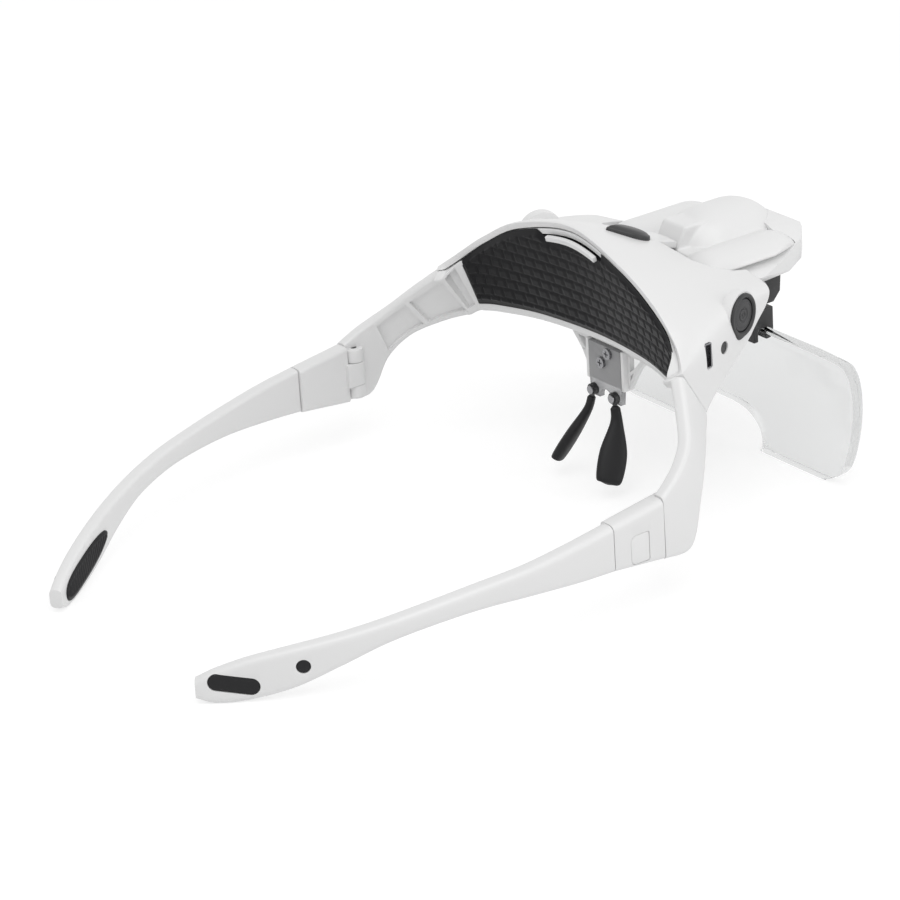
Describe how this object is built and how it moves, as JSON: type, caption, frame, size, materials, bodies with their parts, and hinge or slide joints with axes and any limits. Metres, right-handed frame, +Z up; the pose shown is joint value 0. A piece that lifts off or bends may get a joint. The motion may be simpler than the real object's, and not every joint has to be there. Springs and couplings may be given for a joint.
{
  "type": "lighted headband magnifier",
  "caption": "White spectacle-style head magnifier with a flip-up clear lens plate, a tilting lamp pod, a rubber forehead pad, nose pads and folding temples with ear pads.",
  "frame": {"origin": "centre of the bounding box, at the level of the table that the lens edge and the temple tips rest on", "axes": "+X to the wearer's left, the wearer looks along -Y, +Z up"},
  "size_m": [0.1562, 0.238, 0.0823],
  "materials": {
    "white_shell": "satin white moulded plastic",
    "pad_rubber": "matt, moulded pattern",
    "soft_rubber": "matt",
    "black_plastic": "satin",
    "button_plastic": "matt, fine rings",
    "smoke_plastic": "clear smoke",
    "steel_screws": "bright",
    "clear_lens": "polished acrylic",
    "circuit_board": "satin",
    "cell_foil": "satin",
    "lamp_resin": "clear",
    "wire_cover": "satin"
  },
  "bodies": {
    "main": {"frame": "white_shell", "brow_cover": "white_shell", "forehead_pad": "pad_rubber", "pad_clip": "white_shell", "nose_plate": "smoke_plastic", "nose_screws": "steel_screws", "circuit_board": "circuit_board", "push_switches": "steel_screws", "side_bezel_left": "black_plastic", "side_bezel_right": "black_plastic", "charge_port": "steel_screws", "port_board": "circuit_board", "indicator_light": "black_plastic", "cover_screws": "steel_screws", "lens_bracket": "black_plastic", "bracket_screws": "steel_screws", "lens_pin": "steel_screws", "pod_pin": "steel_screws", "hinge_pin_left": "steel_screws", "hinge_pin_right": "steel_screws"},
    "pod": {"pod_hinge": "black_plastic", "pod_base": "white_shell", "pod_cover": "white_shell", "battery_cell": "cell_foil", "led_board": "circuit_board", "leds": "lamp_resin", "lamp_window": "clear_lens", "pod_wires": "wire_cover"},
    "lens_flap": {"lens_holder": "black_plastic"},
    "lens": {"lens_plate": "clear_lens"},
    "top_key": {"top_button": "black_plastic"},
    "key_left": {"side_button_left": "button_plastic"},
    "key_right": {"side_button_right": "button_plastic"},
    "nose_left": {"nose_arm_left": "black_plastic", "nose_pad_left": "soft_rubber"},
    "nose_right": {"nose_arm_right": "black_plastic", "nose_pad_right": "soft_rubber"},
    "block_left": {"hinge_block_left": "white_shell", "release_springs_left": "steel_screws"},
    "block_right": {"hinge_block_right": "white_shell", "release_springs_right": "steel_screws"},
    "release_left": {"release_button_left": "white_shell"},
    "release_right": {"release_button_right": "white_shell"},
    "temple_left": {"temple_arm_left": "white_shell", "ear_pad_left": "soft_rubber"},
    "temple_right": {"temple_arm_right": "white_shell", "ear_pad_right": "soft_rubber"}
  },
  "joints": [
    {"name": "pod_tilt", "type": "hinge", "parent": "main", "child": "pod", "pos_m": [0, -0.069, 0.0665], "axis": [-1, 0, 0], "range_deg": [0, 20]},
    {"name": "lens_flip", "type": "hinge", "parent": "main", "child": "lens_flap", "pos_m": [0, -0.097, 0.053], "axis": [-1, 0, 0], "range_deg": [0, 75]},
    {"name": "lens_slide", "type": "slide", "parent": "lens_flap", "child": "lens", "axis": [0, 0, -1], "range_m": [0, 0.006]},
    {"name": "top_press", "type": "slide", "parent": "main", "child": "top_key", "axis": [0, 0.3856, -0.9226], "range_m": [0, 0.0008], "stiffness_N_per_m": 500},
    {"name": "side_press_left", "type": "slide", "parent": "main", "child": "key_left", "axis": [-0.9511, 0.309, 0], "range_m": [0, 0.0008], "stiffness_N_per_m": 500},
    {"name": "side_press_right", "type": "slide", "parent": "main", "child": "key_right", "axis": [0.9511, 0.309, 0], "range_m": [0, 0.0008], "stiffness_N_per_m": 500},
    {"name": "nose_rock_left", "type": "hinge", "parent": "main", "child": "nose_left", "pos_m": [0.0049, -0.051, 0.0274], "axis": [0, 1, 0], "range_deg": [-6, 6]},
    {"name": "nose_rock_right", "type": "hinge", "parent": "main", "child": "nose_right", "pos_m": [-0.0049, -0.051, 0.0274], "axis": [0, 1, 0], "range_deg": [-6, 6]},
    {"name": "fold_left", "type": "hinge", "parent": "main", "child": "block_left", "pos_m": [0.0734, -0.0124, 0.0234], "axis": [0, 0, 1], "range_deg": [0, 88]},
    {"name": "release_press_left", "type": "slide", "parent": "block_left", "child": "release_left", "axis": [-1, 0, 0], "range_m": [0, 0.0008], "stiffness_N_per_m": 500, "deforming": ["release_springs_left"]},
    {"name": "temple_slide_left", "type": "slide", "parent": "block_left", "child": "temple_left", "axis": [0, 1, 0], "range_m": [0, 0.008]},
    {"name": "fold_right", "type": "hinge", "parent": "main", "child": "block_right", "pos_m": [-0.0734, -0.0124, 0.0234], "axis": [0, 0, -1], "range_deg": [0, 70]},
    {"name": "release_press_right", "type": "slide", "parent": "block_right", "child": "release_right", "axis": [1, 0, 0], "range_m": [0, 0.0008], "stiffness_N_per_m": 500, "deforming": ["release_springs_right"]},
    {"name": "temple_slide_right", "type": "slide", "parent": "block_right", "child": "temple_right", "axis": [0, 1, 0], "range_m": [0, 0.008]}
  ]
}
